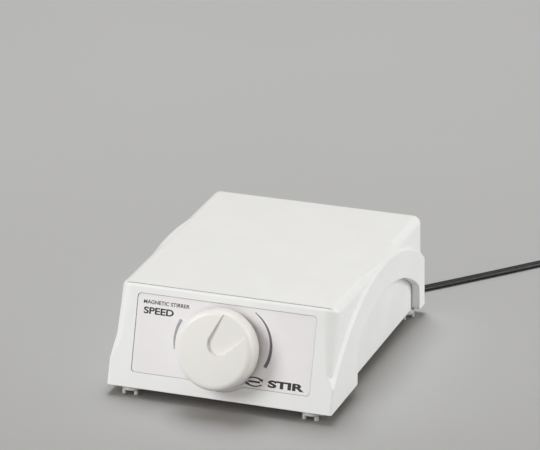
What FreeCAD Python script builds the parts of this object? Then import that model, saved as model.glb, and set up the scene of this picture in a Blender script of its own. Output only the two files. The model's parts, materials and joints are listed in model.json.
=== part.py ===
import FreeCAD, Part
import math
import os

# A bench-top magnetic stirrer, in millimetres.
# +Z is up, +X is to the right when facing the control panel, and +Y points to the rear.
# The origin is on the vessel plate, at the point where the stirring axis leaves it.
# Heights are given above the lower edge of the case with height(), and distances
# behind the front lower edge with depth().

V = FreeCAD.Vector
X_AXIS = V(1, 0, 0)
Y_AXIS = V(0, 1, 0)
Z_AXIS = V(0, 0, 1)
SIDES = (-1, 1)

# Driving dimensions of the case
case_width = 119.0          # over the two raised side fenders, at the lower edge
case_depth = 155.0
case_height = 50.0
foot_height = 4.9
axis_depth = 91.5           # stirring axis behind the front lower edge
front_setback = 15.0        # how far the sloping front leans back over the case's height
rear_setback = 1.0
side_draft = 0.008          # inward lean of the sides, per unit of height
wall = 2.3                  # front and rear walls
side_wall = 2.55
plate_thickness = 2.5       # the vessel plate, which is the top of the upper case
plate_edge_radius = 4.0     # along the plate's sides and rear
front_edge_radius = 1.5     # between the plate and the sloping front
base_thickness = 2.2
case_gap = 0.25             # between the upper case and the lower case inside it

# Side fenders and the arches cut through them
fender_step = 1.6
fender_radius = 112.9
fender_centre_depth = 86.7
fender_centre_height = -65.2
arch_radius = 91.5
arch_centre_depth = 87.5
arch_centre_height = -58.0
arch_front_depth = 41.5
arch_rear_depth = 144.6
arch_wall_radius = 95.5

# Control panel, with positions measured up the sloping front face
panel_half_width = 47.3
panel_low = 8.0
panel_high = 48.2
panel_corner = 2.0
panel_recess = 0.55
label_thickness = 0.28
label_margin = 0.2
knob_bay_radius = 21.9
knob_bay_blend = 9.0        # round between the bay and the label's lower edge
knob_height_on_panel = 26.0
knob_offset = -0.5          # the knob's axis stands slightly left of the middle

# Speed knob, measured along the panel's outward normal from the front face
knob_radius = 20.45
knob_skirt = 2.6
knob_face = 13.0
knob_pointer_angle = 36.5   # clockwise from the top of the panel

# Potentiometer
pot_radius = 8.3
pot_depth = 7.6
bushing_radius = 3.5
bushing_end = 2.7
pot_shaft_radius = 3.0
pot_shaft_end = 8.4
pot_pin_places = (-5.0, 0.0, 5.0)
pot_pin_reach = 4.6
pot_pin_thickness = 0.4
pot_cover_wall = 0.5
pot_track_thickness = 0.9

# Drive: motor, bracket and magnet carrier, as heights above the case's lower edge
motor_radius = 12.2
motor_low = 8.2
motor_high = 31.6
motor_shaft_radius = 1.0
bracket_thickness = 1.2
hub_low = 34.0
yoke_low = 39.3
yoke_thickness = 1.6
yoke_radius = 25.5
drive_magnet_radius = 8.0
drive_magnet_thickness = 5.0
drive_magnet_offset = 16.5
bracket_hole_x = 27.0
bracket_hole_y = 10.0

# Control board and power inlet
board_low = 7.2
board_thickness = 1.6
board_half_width = 31.0
board_front = 26.0
board_rear = 60.2
jack_height = 15.3          # centre of the inlet above the case's lower edge
plug_barrel_length = 9.5
cord_core_radius = 1.2
cord_core_pitch = 2.2
conductor_radius = 0.45

# Running clearances
bush_clearance = 0.03
shaft_clearance = 0.05

# Values worked out from the driving dimensions
z_case = -case_height
z_bench = z_case - foot_height
y_front = -axis_depth
y_rear = y_front + case_depth
upper_half_width = case_width / 2 - fender_step
front_slope = front_setback / case_height
rear_slope = rear_setback / case_height
slope_angle = math.degrees(math.atan(front_slope))
draft_angle = math.degrees(math.atan(side_draft))
slope_cos = math.cos(math.radians(slope_angle))
board_high = board_low + board_thickness
panel_inner = -wall
label_face = label_thickness - panel_recess
foot_places = [(side * x, d) for side in SIDES for x, d in ((47.8, 6.0), (50.9, 144.6))]
base_screw_places = [(x, d) for x in (-44.0, 44.0) for d in (24.0, 126.0)]
bracket_places = [(x, y) for x in (-bracket_hole_x, bracket_hole_x)
                  for y in (-bracket_hole_y, bracket_hole_y)]
board_screw_places = [(x, y) for x in (-27.5, 27.5) for y in (29.5, 56.5)]


# ---------------------------------------------------------------- helpers

def height(value):
    """Z of a height above the case's lower edge."""
    return z_case + value


def depth(value):
    """Y of a distance behind the front lower edge."""
    return y_front + value


def block(x_low, x_high, y_low, y_high, z_low, z_high):
    size = (x_high - x_low, y_high - y_low, z_high - z_low)
    return Part.makeBox(*size, V(x_low, y_low, z_low))


def rod(radius, x, y, z_low, z_high):
    """An upright cylinder."""
    return Part.makeCylinder(radius, z_high - z_low, V(x, y, z_low), Z_AXIS)


def ring(outer, inner, x, y, z_low, z_high):
    return rod(outer, x, y, z_low, z_high).cut(rod(inner, x, y, z_low - 1, z_high + 1))


def turned(points, base=V(0, 0, 0), axis=Z_AXIS):
    """A solid turned from (radius, height) points, with its axis along Z and then placed."""
    outline = Part.makePolygon([V(r, 0, z) for r, z in points + points[:1]])
    solid = Part.Face(outline).revolve(V(0, 0, 0), Z_AXIS, 360)
    solid.Placement = FreeCAD.Placement(base, FreeCAD.Rotation(Z_AXIS, axis))
    return solid


def mirrored(shape):
    """The same shape on the other side of the case."""
    return shape.mirror(V(0, 0, 0), X_AXIS)


def on_panel(shape):
    """Place a shape drawn with x across, y up the panel and z out of its face."""
    moved = shape.copy()
    turn = FreeCAD.Rotation(X_AXIS, 90 - slope_angle)
    moved.Placement = FreeCAD.Placement(V(0, y_front, z_case), turn).multiply(moved.Placement)
    return moved


def on_knob_axis(shape):
    """Place a shape drawn around z on the knob's axis, with z = 0 in the front face."""
    moved = shape.copy()
    moved.translate(V(knob_offset, knob_height_on_panel, 0))
    return on_panel(moved)


def bent_wire(points, bend, radius):
    """A round lead along straight runs between the points, with rounded bends."""
    edges = []
    start = points[0]
    for before, corner, after in zip(points, points[1:], points[2:]):
        into = (corner - before).normalize()
        out = (after - corner).normalize()
        half_turn = into.getAngle(out) / 2
        cut_back = bend * math.tan(half_turn)
        arc_start = corner - into * cut_back
        arc_end = corner + out * cut_back
        towards_centre = (out - into).normalize()
        middle = corner + towards_centre * (bend / math.cos(half_turn) - bend)
        edges += [Part.makeLine(start, arc_start), Part.Arc(arc_start, middle, arc_end).toShape()]
        start = arc_end
    edges.append(Part.makeLine(start, points[-1]))
    profile = Part.Wire([Part.Circle(points[0], points[1] - points[0], radius).toShape()])
    return Part.Wire(edges).makePipeShell([profile], True, True)


def pan_screw(shank_radius, length, head_radius, head_height, base, direction):
    """A pan-head screw with a cross recess; base is under the head, direction along the shank."""
    head = Part.makeCylinder(head_radius, head_height, base, -direction)
    rim = [e for e in head.Edges if e.Closed and e.CenterOfMass.distanceToPoint(base) > 0.5 * head_height]
    head = head.makeFillet(0.35 * head_height, rim)
    shank = Part.makeCylinder(shank_radius, length, base, direction)
    slot_length = 1.2 * head_radius
    slot_width = 0.28 * head_radius
    slot_depth = 0.55 * head_height
    bars = []
    for quarter in (0, 90):
        bar = Part.makeBox(slot_length, slot_width, slot_depth,
                           V(-slot_length / 2, -slot_width / 2, head_height - slot_depth))
        bar.rotate(V(0, 0, 0), Z_AXIS, quarter)
        bars.append(bar)
    cross = bars[0].fuse(bars[1])
    cross.Placement = FreeCAD.Placement(base, FreeCAD.Rotation(Z_AXIS, -direction))
    return head.fuse(shank).cut(cross)


# ---------------------------------------------------------------- case shapes

def case_block(side_inset, front_inset, rear_inset, low, high):
    """The case's drafted outer block, set in from each wall, between two heights."""
    sections = []
    for level in (low, high):
        half = upper_half_width - side_draft * level - side_inset
        front = y_front + front_slope * level + front_inset / slope_cos
        rear = y_rear - rear_slope * level - rear_inset
        z = height(level)
        corners = [V(-half, front, z), V(half, front, z), V(half, rear, z), V(-half, rear, z)]
        sections.append(Part.makePolygon(corners + corners[:1]))
    return Part.makeLoft(sections, True, True)


def round_corners(solid, front_low, front_high, rear):
    """Round the four upright corners; the front ones widen from low to high."""
    def uprights(shape, at_front):
        found = [e for e in shape.Edges if abs(e.Vertexes[0].Z - e.Vertexes[-1].Z) > 1]
        return [e for e in found if (e.CenterOfMass.y < 0) == at_front]
    solid = solid.makeFillet(rear, uprights(solid, False))
    for side in SIDES:
        edge = [e for e in uprights(solid, True) if e.CenterOfMass.x * side > 0][0]
        radii = (front_low, front_high)
        if edge.Vertexes[0].Z > edge.Vertexes[-1].Z:
            radii = (front_high, front_low)
        solid = solid.makeFillet(radii[0], radii[1], [edge])
    return solid


def round_plate_edges(solid):
    """Round the vessel plate's rim: wide at the sides and rear, narrow along the front."""
    def radius_at(vertex):
        at_front = vertex.Y < y_front + front_setback + 1.0
        return front_edge_radius if at_front else plate_edge_radius
    document = FreeCAD.newDocument()
    base = document.addObject("Part::Feature")
    base.Shape = solid
    rounded = document.addObject("Part::Fillet")
    rounded.Base = base
    rim = [(number, edge) for number, edge in enumerate(solid.Edges, 1) if edge.BoundBox.ZMin > -0.01]
    rounded.Edges = [(number, radius_at(edge.Vertexes[0]), radius_at(edge.Vertexes[-1]))
                     for number, edge in rim]
    document.recompute()
    # The right half is the left one mirrored, so that both front corners blend alike
    far = 2 * case_depth
    left_half = rounded.Shape.common(block(-far, 0, -far, far, -far, far))
    FreeCAD.closeDocument(document.Name)
    return left_half.fuse(mirrored(left_half)).removeSplitter()


def fender():
    """The right fender: a bevelled disc segment that leans in with the case's side."""
    reach = 5.0
    outside = 1.0
    outer_x = case_width / 2
    centre = V(outer_x - reach, depth(fender_centre_depth), height(fender_centre_height))
    disc = Part.makeCone(fender_radius + reach, fender_radius - outside, reach + outside, centre, X_AXIS)
    disc.rotate(V(outer_x, 0, z_case), Y_AXIS, -draft_angle)
    envelope = case_block(-fender_step, 0, 0, 0, case_height)
    envelope = round_corners(envelope, 1.2, 1.2, 1.8)
    return disc.common(envelope)


def arch_profile(front, rear, radius, low):
    """An outline on the plane x = 0: two uprights joined by the arc of the given radius."""
    def crown(at_depth):
        rise = math.sqrt(radius ** 2 - (at_depth - arch_centre_depth) ** 2)
        return V(0, depth(at_depth), height(arch_centre_height + rise))
    first = V(0, depth(front), height(low))
    last = V(0, depth(rear), height(low))
    arc = Part.Arc(crown(front), crown(arch_centre_depth), crown(rear)).toShape()
    edges = [Part.makeLine(first, crown(front)), arc, Part.makeLine(crown(rear), last),
             Part.makeLine(last, first)]
    return Part.Face(Part.Wire(edges))


def arch_opening():
    """The right arch's cutting block, with rounded upper corners."""
    inner_x = 50.0
    outer_x = 62.0
    below = -3.0
    opening = arch_profile(arch_front_depth, arch_rear_depth, arch_radius, below)
    opening = opening.extrude(V(outer_x - inner_x, 0, 0))
    opening.translate(V(inner_x, 0, 0))
    for at_depth, corner_radius in ((arch_front_depth, 10.0), (arch_rear_depth, 8.0)):
        y = depth(at_depth)
        edge = [e for e in opening.Edges
                if abs(e.CenterOfMass.y - y) < 0.01 and abs(e.Vertexes[0].X - e.Vertexes[-1].X) > 1
                and e.CenterOfMass.z > z_case][0]
        opening = opening.makeFillet(corner_radius, [edge])
    return opening


def leg_corner(at_depth, toward, radius):
    """What rounding off a leg's lower corner beside the arch removes, on the right side."""
    y = depth(at_depth)
    reach = radius * toward
    corner = block(50, 62, min(y, y + reach), max(y, y + reach), z_case - 1, z_case + radius)
    keep = Part.makeCylinder(radius, 12, V(50, y + reach, z_case + radius), X_AXIS)
    return corner.cut(keep)


def panel_outline(inset, low, high):
    """The recess for the label: a rounded rectangle with a round bay below the knob."""
    half = panel_half_width - inset
    plate = block(-half, half, panel_low + inset, panel_high - inset, low, high)
    uprights = [e for e in plate.Edges if abs(e.Vertexes[0].Z - e.Vertexes[-1].Z) > 0.1]
    plate = plate.makeFillet(panel_corner, uprights)
    bay = rod(knob_bay_radius - inset, knob_offset, knob_height_on_panel, low, high)
    lower_half = block(-half, half, knob_height_on_panel - half, knob_height_on_panel, low - 1, high + 1)
    outline = plate.fuse(bay.common(lower_half)).removeSplitter()
    joints = [e for e in outline.Edges if abs(e.Vertexes[0].Z - e.Vertexes[-1].Z) > 0.1
              and abs(e.CenterOfMass.x) < knob_bay_radius and e.CenterOfMass.y < panel_low + 1]
    return outline.makeFillet(knob_bay_blend + inset, joints)


def make_upper_case():
    """The shell with the vessel plate, the sloping front, the side fenders and the arches."""
    outer = round_plate_edges(round_corners(case_block(0, 0, 0, 0, case_height), 1.2, 7.0, 4.4))
    right_fender = fender()
    outer = outer.fuse([right_fender, mirrored(right_fender)])

    cavity = case_block(side_wall, wall, wall, -1, case_height - plate_thickness)
    cavity = round_corners(cavity, 2.0, 5.0, 3.0)
    shell = outer.cut(cavity)

    opening = arch_opening()
    opening = opening.fuse([leg_corner(arch_front_depth, -1, 1.0), leg_corner(arch_rear_depth, 1, 1.6)])
    shell = shell.cut(opening).cut(mirrored(opening))

    groove_behind_edge = 1.05
    groove_width = 1.15
    groove_depth = 0.5
    groove_half_length = 54.5
    top_front = y_front + front_setback
    groove = block(-groove_half_length, groove_half_length, top_front + groove_behind_edge,
                   top_front + groove_behind_edge + groove_width, -groove_depth, 1)
    shell = shell.cut(groove)

    boss_radius = 3.6
    pilot_radius = 1.5
    pilot_depth = 14.0
    boss_low = 8.2
    for x, d in base_screw_places:
        boss = rod(boss_radius, x, depth(d), height(boss_low), -plate_thickness + 0.5)
        shell = shell.fuse(boss)
        shell = shell.cut(rod(pilot_radius, x, depth(d), height(boss_low) - 1,
                              height(boss_low + pilot_depth)))

    shell = shell.cut(on_panel(panel_outline(0, -panel_recess, 3)))
    shell = shell.cut(on_knob_axis(rod(bushing_radius + 0.1, 0, 0, -6, 2)))

    inlet_half_width = 4.8
    inlet_top = 20.1
    shell = shell.cut(block(-inlet_half_width, inlet_half_width, y_rear - 6, y_rear + 1,
                            z_case - 1, height(inlet_top)))
    return shell.removeSplitter()


def make_lower_case():
    """The tub that closes the case: floor, lip, arch walls, pillars and screw bosses."""
    lip_height = 6.5
    lip = 2.0
    inset = wall + case_gap
    side_inset = side_wall + case_gap
    tub = round_corners(case_block(side_inset, inset, inset, 0, lip_height), 2.0, 2.3, 2.8)
    hollow = case_block(side_inset + lip, inset + lip, inset + lip, base_thickness, lip_height + 1)
    tub = tub.cut(hollow)

    wall_front = 38.0
    wall_rear = 149.0
    wall_block = case_block(side_inset, inset, inset, 0, 40)
    wall_block = wall_block.cut(case_block(side_inset + lip, -20, -20, -1, 41))
    arch_walls = arch_profile(wall_front, wall_rear, arch_wall_radius, 0).extrude(V(120, 0, 0))
    arch_walls.translate(V(-60, 0, 0))
    tub = tub.fuse(wall_block.common(arch_walls))

    tongue = block(-4.6, 4.6, board_rear + 0.2, y_rear, z_case, height(board_high - 0.2))
    tub = tub.fuse(tongue.common(case_block(0, 0, 0.1, 0, 20)))

    screw_boss_radius = 4.75
    screw_boss_high = 8.0
    solids = [rod(screw_boss_radius, x, depth(d), z_case, height(screw_boss_high))
              for x, d in base_screw_places]
    pillar_radius = 3.5
    pillar_high = 30.2
    solids += [rod(pillar_radius, x, y, z_case, height(pillar_high)) for x, y in bracket_places]
    standoff_radius = 3.0
    solids += [rod(standoff_radius, x, y, z_case, height(board_low)) for x, y in board_screw_places]
    tub = tub.fuse(solids)

    head_pocket_radius = 3.2
    head_pocket_depth = 4.0
    for x, d in base_screw_places:
        tub = tub.cut(rod(head_pocket_radius, x, depth(d), z_case - 1, height(head_pocket_depth)))
        tub = tub.cut(rod(1.7, x, depth(d), z_case, height(screw_boss_high + 1)))
    for x, y in bracket_places:
        tub = tub.cut(rod(1.25, x, y, height(pillar_high - 9.5), height(pillar_high + 1)))
    for x, y in board_screw_places:
        tub = tub.cut(rod(1.1, x, y, height(board_low - 5.5), height(board_low + 1)))
    for x, d in foot_places:
        tub = tub.cut(rod(2.05, x, depth(d), z_case - 1, height(base_thickness + 1)))
        tub = tub.cut(rod(3.4, x, depth(d), height(base_thickness), height(lip_height + 1)))
    return tub.removeSplitter()


def make_label():
    """The printed sheet that lies in the panel's recess."""
    sheet = panel_outline(label_margin, -panel_recess, label_face)
    hole = rod(bushing_radius + 0.1, knob_offset, knob_height_on_panel, -2, 1)
    return on_panel(sheet.cut(hole))


def make_foot(x, d):
    """A rubber foot: a pad with four nubs below and a barbed stem above."""
    rear_foot_turn = 28.0
    pad_radius = 5.5
    pad = 2.4
    stem_radius = 2.0
    barb_radius = 2.75
    barb_height = 2.0
    nub_radius = 1.15
    nub_tip = 0.75
    nub_offset = 3.1
    stem_top = base_thickness
    body = turned([(0, -pad), (pad_radius - 0.5, -pad), (pad_radius, -pad + 0.5), (pad_radius, -0.3),
                   (pad_radius - 0.3, 0), (stem_radius, 0), (stem_radius, stem_top),
                   (barb_radius, stem_top), (barb_radius, stem_top + 0.4),
                   (1.3, stem_top + barb_height), (0, stem_top + barb_height)])
    nub_outline = [(0, -foot_height), (nub_tip, -foot_height), (1.0, -foot_height + 0.2),
                   (nub_radius, -foot_height + 0.55), (nub_radius, -pad), (0, -pad)]
    nubs = [turned(nub_outline, V(nub_offset * i, nub_offset * j, 0)) for i in SIDES for j in SIDES]
    foot = body.fuse(nubs).removeSplitter()
    if d > axis_depth:
        foot.rotate(V(0, 0, 0), Z_AXIS, math.copysign(rear_foot_turn, -x))
    foot.translate(V(x, depth(d), z_case))
    return foot


def make_base_screws():
    head_seat = 4.0
    return [pan_screw(1.45, 15.0, 2.8, 2.0, V(x, depth(d), height(head_seat)), Z_AXIS)
            for x, d in base_screw_places]


# ---------------------------------------------------------------- speed control

def wedge_outline(apex_radius, level):
    """The finger pit's outline at one level: a rounded inner end and two edges that spread."""
    apex_offset = 4.4
    half_opening = math.radians(10.5)
    far = 24.0
    # Tangent points of the two straight edges on the rounded inner end
    touch_x = apex_radius * math.cos(half_opening)
    touch_y = apex_offset - apex_radius * math.sin(half_opening)
    far_x = touch_x + (far - touch_y) * math.tan(half_opening)
    corners = [V(-touch_x, touch_y, level), V(-far_x, far, level), V(far_x, far, level),
               V(touch_x, touch_y, level)]
    inner_end = Part.Arc(corners[-1], V(0, apex_offset - apex_radius, level), corners[0]).toShape()
    return Part.Wire([inner_end] + [Part.makeLine(a, b) for a, b in zip(corners, corners[1:])])


def finger_pit():
    """The wedge-shaped finger pit: shallow, with sloping walls, running out at the knob's rim."""
    apex_radius = 5.45
    wall_lean = 0.32
    floor_at_axis = 12.2
    floor_rise = 0.033
    low = floor_at_axis - 0.5
    high = knob_face + 2.0
    reach = 26.0
    levels = [(apex_radius + wall_lean * (level - floor_at_axis), level) for level in (low, high)]
    prism = Part.makeLoft([wedge_outline(radius, level) for radius, level in levels], True, True)
    floor_ends = [(y, floor_at_axis + floor_rise * y) for y in (-reach, reach)]
    above_floor = [V(-reach, y, z) for y, z in floor_ends + [(reach, high + 1), (-reach, high + 1)]]
    above_floor = Part.Face(Part.makePolygon(above_floor + above_floor[:1])).extrude(V(2 * reach, 0, 0))
    pit = prism.common(above_floor)
    pit.rotate(V(0, 0, 0), Z_AXIS, -knob_pointer_angle)
    return pit


def d_section(radius, flat, z_low, z_high):
    """A round bar with one flat, as on the potentiometer's shaft."""
    bar = rod(radius, 0, 0, z_low, z_high)
    return bar.cut(block(-2 * radius, 2 * radius, flat, 2 * radius, z_low - 1, z_high + 1))


def make_speed_knob():
    """A hollow moulded knob with a domed face, a finger pit and a D-shaped socket."""
    draft = 0.1
    edge_round = 3.2
    dome_rise = 0.9
    skirt_wall = 2.0
    cavity_top = 8.8
    boss_radius = 5.6
    boss_low = 3.0
    socket_top = 8.5
    face_radius = knob_radius - draft
    outer = [V(0, 0, knob_skirt), V(knob_radius, 0, knob_skirt), V(face_radius, 0, knob_face)]
    dome = Part.Arc(V(face_radius, 0, knob_face), V(face_radius / 2, 0, knob_face + 0.75 * dome_rise),
                    V(0, 0, knob_face + dome_rise)).toShape()
    lines = [Part.makeLine(a, b) for a, b in zip(outer, outer[1:])]
    closing = Part.makeLine(V(0, 0, knob_face + dome_rise), outer[0])
    body = Part.Face(Part.Wire(lines + [dome, closing])).revolve(V(0, 0, 0), Z_AXIS, 360)
    rim = [e for e in body.Edges if e.Closed and abs(e.BoundBox.ZMax - knob_face) < 0.01
           and e.BoundBox.XMax > face_radius - 1]
    body = body.makeFillet(edge_round, rim)
    cavity = ring(knob_radius - skirt_wall, boss_radius, 0, 0, knob_skirt - 1, cavity_top)
    cavity = cavity.fuse(rod(boss_radius, 0, 0, knob_skirt - 1, boss_low))
    body = body.cut(cavity).cut(finger_pit())
    body = body.cut(d_section(pot_shaft_radius, 1.6, boss_low - 1, socket_top))
    return on_knob_axis(body.removeSplitter())


def make_potentiometer():
    """The speed control behind the panel: shaft, wiper, track, bushing, cover, pins, nut, washer."""
    mount = panel_inner
    back = mount - pot_depth
    shaft_back = back + 1.2
    bore = pot_shaft_radius + shaft_clearance
    plate_back = mount - 1.4
    parts = {}
    bushing = rod(bushing_radius, 0, 0, mount, bushing_end)
    flange = rod(pot_radius - pot_cover_wall - 0.05, 0, 0, plate_back, mount)
    parts["pot_bushing"] = bushing.fuse(flange).cut(rod(bore, 0, 0, back, 5)).removeSplitter()
    cover = rod(pot_radius, 0, 0, back, mount)
    cover = cover.cut(rod(pot_radius - pot_cover_wall, 0, 0, back + pot_cover_wall, mount + 1))
    window = block(-6.2, 6.2, -pot_radius - 1, -pot_radius + 3.8, back + pot_cover_wall, mount - 2.4)
    parts["pot_cover"] = cover.cut(window)
    track_front = back + pot_cover_wall + pot_track_thickness
    track = rod(pot_radius - pot_cover_wall - 0.1, 0, 0, back + pot_cover_wall, track_front)
    tail = block(-6.0, 6.0, -pot_radius - 1.4, -5.0, back + pot_cover_wall, track_front)
    parts["pot_track"] = track.cut(rod(3.4, 0, 0, back, track_front + 1)).fuse(tail).removeSplitter()
    shaft = d_section(pot_shaft_radius, 1.6, boss_flat_low(), pot_shaft_end)
    shaft = shaft.fuse(rod(pot_shaft_radius, 0, 0, shaft_back, boss_flat_low()))
    parts["pot_shaft"] = shaft.removeSplitter()
    wiper = ring(6.2, pot_shaft_radius, 0, 0, plate_back - 1.6, plate_back - 0.3)
    finger = block(-0.9, 0.9, 3.9, 5.9, track_front + 0.05, plate_back - 1.5)
    parts["pot_wiper"] = wiper.fuse(finger).removeSplitter()
    parts["pot_terminals"] = [
        block(x - 0.6, x + 0.6, -pot_radius - pot_pin_reach, -pot_radius + 0.4, track_front,
              track_front + pot_pin_thickness) for x in pot_pin_places]
    washer_top = label_face + 0.6
    parts["pot_washer"] = ring(5.8, bushing_radius + 0.1, 0, 0, label_face, washer_top)
    across_corners = 5.7
    corners = [V(across_corners * math.cos(math.radians(60 * i)),
                 across_corners * math.sin(math.radians(60 * i)), washer_top) for i in range(7)]
    nut = Part.Face(Part.makePolygon(corners)).extrude(V(0, 0, 1.9))
    parts["pot_nut"] = nut.cut(rod(bushing_radius, 0, 0, -5, 5))
    placed = {}
    for name, shape in parts.items():
        if isinstance(shape, list):
            placed[name] = [on_knob_axis(s) for s in shape]
        else:
            placed[name] = on_knob_axis(shape)
    return placed


def boss_flat_low():
    """Where the flat on the potentiometer's shaft starts, just outside its bushing."""
    return bushing_end + 0.2


# ---------------------------------------------------------------- motor and magnet carrier

def motor_rod(radius, low, high, x=0.0, y=0.0):
    """An upright cylinder on or beside the stirring axis, between two heights in the case."""
    return rod(radius, x, y, height(low), height(high))


def motor_ring(outer, inner, low, high):
    return ring(outer, inner, 0, 0, height(low), height(high))


def sector(inner, outer, low, high, centre_angle, span):
    """Part of a ring about the stirring axis."""
    face = Part.makeCylinder(outer, high - low, V(0, 0, height(low)), Z_AXIS, span)
    face = face.cut(motor_rod(inner, low - 1, high + 1))
    face.rotate(V(0, 0, 0), Z_AXIS, centre_angle - span / 2)
    return face


def turned_about_axis(shape, angle):
    copy = shape.copy()
    copy.rotate(V(0, 0, 0), Z_AXIS, angle)
    return copy


def make_motor_stator():
    """The can with its magnets and bushes, and the end cap with its brushes and terminals."""
    shell = 1.0
    bush_radius = 3.05
    cap_high = motor_low + 4.0
    cap_radius = motor_radius - shell
    bore = motor_shaft_radius + bush_clearance
    parts = {}
    can = motor_rod(motor_radius, motor_low, motor_high)
    rim = [e for e in can.Edges if e.Closed and e.BoundBox.ZMin > height(motor_high - 0.1)]
    can = can.makeFillet(1.2, rim)
    can = can.cut(motor_rod(cap_radius, motor_low - 1, motor_high - shell))
    can = can.cut(motor_rod(bush_radius, motor_high - 3, motor_high + 1))
    for x in (-8.5, 8.5):
        can = can.cut(motor_rod(1.3, motor_high - 3, motor_high + 1, x))
    parts["motor_can"] = can
    parts["motor_upper_bush"] = motor_ring(bush_radius, bore, motor_high - 2.0, motor_high + 1.8)

    lower_bush_radius = 2.5
    lower_bush_low = motor_low - 0.8
    lower_bush_high = motor_low + 2.2
    cap = motor_rod(cap_radius - 0.05, motor_low, cap_high)
    cap = cap.fuse(motor_rod(4.2, motor_low - 1.6, motor_low))
    cap = cap.cut(motor_rod(lower_bush_radius, lower_bush_low, cap_high + 1))
    terminals = [block(x - 1.2, x + 1.2, 7.2, 7.6, height(motor_low - 3.4), height(cap_high - 0.4))
                 for x in (-5.0, 5.0)]
    for tab in terminals:
        cap = cap.cut(tab)
    parts["motor_end_cap"] = cap.removeSplitter()
    parts["motor_terminals"] = terminals
    parts["motor_lower_bush"] = motor_ring(lower_bush_radius, bore, lower_bush_low, lower_bush_high)

    magnet_low = motor_low + 6.8
    magnet_high = motor_high - shell - 0.6
    parts["motor_field_magnets"] = [sector(8.7, cap_radius - 0.05, magnet_low, magnet_high, a, 116)
                                    for a in (0, 180)]

    carbon_low = motor_low + 6.2
    brushes = []
    for side in SIDES:
        carbon = block(-1.0, 1.0, 2.68, 4.4, height(carbon_low), height(carbon_low + 2.0))
        arm = block(-1.0, 1.0, 4.4, 8.2, height(carbon_low + 0.8), height(carbon_low + 1.1))
        post = block(-1.0, 1.0, 8.0, 8.4, height(cap_high), height(carbon_low + 1.1))
        brush = carbon.fuse([arm, post]).removeSplitter()
        brushes.append(turned_about_axis(brush, 0 if side > 0 else 180))
    parts["motor_brushes"] = brushes
    return parts


def make_motor_rotor():
    """Shaft, three-pole armature, windings and commutator."""
    parts = {}
    shaft_low = motor_low - 0.7
    shaft_high = yoke_low + yoke_thickness + 0.5
    parts["motor_shaft"] = motor_rod(motor_shaft_radius, shaft_low, shaft_high)

    comm_low = motor_low + 5.2
    commutator = motor_ring(2.6, motor_shaft_radius, comm_low, comm_low + 4.0)
    for angle in (90, 210, 330):
        slit = block(1.9, 3.0, -0.15, 0.15, height(comm_low - 1), height(comm_low + 5))
        commutator = commutator.cut(turned_about_axis(slit, angle))
    parts["motor_commutator"] = commutator

    core_low = motor_low + 10.4
    core_high = core_low + 10.0
    poles = []
    for angle in (30, 150, 270):
        neck = block(0, 7.2, -1.2, 1.2, height(core_low), height(core_high))
        shoe = sector(6.6, 8.2, core_low, core_high, 0, 100)
        poles.append(turned_about_axis(neck.fuse(shoe), angle))
    core = motor_rod(3.0, core_low, core_high).fuse(poles)
    parts["motor_armature_core"] = core.cut(motor_rod(motor_shaft_radius, 0, 50)).removeSplitter()

    coils = []
    for angle in (30, 150, 270):
        coil = block(3.3, 5.9, -2.8, 2.8, height(core_low - 1.3), height(core_high + 1.2))
        coil = coil.makeFillet(0.9, [e for e in coil.Edges if abs(e.Vertexes[0].X - e.Vertexes[-1].X) > 1])
        coil = coil.cut(block(3.0, 7.2, -1.2, 1.2, height(core_low), height(core_high)))
        coils.append(turned_about_axis(coil, angle))
    parts["armature_windings"] = coils
    return parts


def make_motor_mount():
    """The bracket on the tub's pillars, its grommets and the screws."""
    low = motor_high
    high = motor_high + bracket_thickness
    parts = {}
    plate = block(-33.0, 33.0, -16.0, 16.0, height(low), height(high))
    uprights = [e for e in plate.Edges if abs(e.Vertexes[0].Z - e.Vertexes[-1].Z) > 1]
    plate = plate.makeFillet(4.0, uprights)
    plate = plate.cut(motor_rod(3.4, low - 1, high + 1))
    for x in (-8.5, 8.5):
        plate = plate.cut(motor_rod(1.5, low - 1, high + 1, x))
    neck = 3.0
    flange = 4.6
    eye = 1.9
    lip = 1.4
    grommets = []
    for x, y in bracket_places:
        plate = plate.cut(motor_rod(neck, low - 1, high + 1, x, y))
        outline = [(eye, low - lip), (flange - 0.4, low - lip), (flange, low - lip + 0.4), (flange, low),
                   (neck, low), (neck, high), (flange, high), (flange, high + lip - 0.4),
                   (flange - 0.4, high + lip), (eye, high + lip)]
        grommets.append(turned(outline, V(x, y, z_case)))
    parts["motor_bracket"] = plate
    parts["bracket_grommets"] = grommets
    parts["motor_face_screws"] = [pan_screw(1.25, 2.6, 2.3, 1.5, V(x, 0, height(high)), -Z_AXIS)
                                  for x in (-8.5, 8.5)]
    parts["bracket_screws"] = [pan_screw(1.2, 11.0, 3.4, 1.8, V(x, y, height(high + lip)), -Z_AXIS)
                               for x, y in bracket_places]
    return parts


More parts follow.
